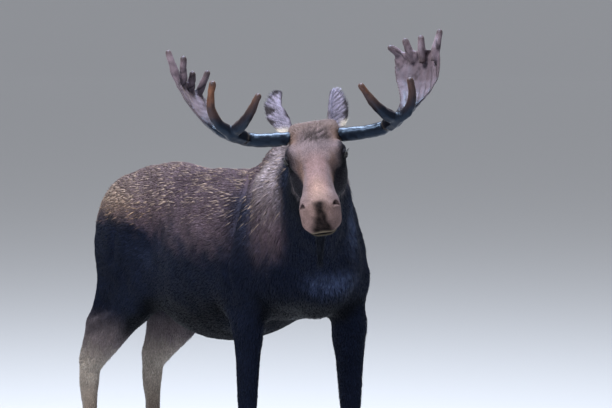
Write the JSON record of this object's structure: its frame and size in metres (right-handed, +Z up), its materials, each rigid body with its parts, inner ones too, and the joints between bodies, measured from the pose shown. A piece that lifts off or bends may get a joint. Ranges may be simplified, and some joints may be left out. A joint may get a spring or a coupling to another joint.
{
  "type": "bull moose",
  "caption": "Life-size still model of a standing bull moose with its head turned to its right, broad antlers in velvet, a throat bell and long pale-shanked legs.",
  "frame": {"origin": "centre of the model's box, at the floor", "axes": "+Z up, -Y the way the body points, +X towards the animal's left"},
  "size_m": [1.0702, 2.3738, 2.2252],
  "materials": {
    "coat": "dense blue-black and brown hair, matte with a soft sheen",
    "face": "short brown hair, paler down the nose",
    "ear": "grey-brown hair, paler inside the scoop",
    "leg": "short grey-brown hair, paler below the hock",
    "velvet": "antlers in velvet: short dark brown plush",
    "hoof": "dark horn, satin",
    "eye": "wet, very dark brown"
  },
  "bodies": {
    "root": {"trunk": "coat", "neck": "coat", "head": "face", "bell": "coat", "tail": "coat", "eye_left": "eye", "ear_left": "ear", "eye_right": "eye", "ear_right": "ear", "antler_left_palm": "velvet", "antler_left_brow": "velvet", "antler_right_palm": "velvet", "antler_right_brow": "velvet", "leg_front_left": "leg", "claw_front_left_inner": "hoof", "dewclaw_front_left_inner": "hoof", "claw_front_left_outer": "hoof", "dewclaw_front_left_outer": "hoof", "leg_front_right": "leg", "claw_front_right_inner": "hoof", "dewclaw_front_right_inner": "hoof", "claw_front_right_outer": "hoof", "dewclaw_front_right_outer": "hoof", "leg_hind_left": "leg", "claw_hind_left_inner": "hoof", "dewclaw_hind_left_inner": "hoof", "claw_hind_left_outer": "hoof", "dewclaw_hind_left_outer": "hoof", "leg_hind_right": "leg", "claw_hind_right_inner": "hoof", "dewclaw_hind_right_inner": "hoof", "claw_hind_right_outer": "hoof", "dewclaw_hind_right_outer": "hoof"}
  },
  "joints": []
}
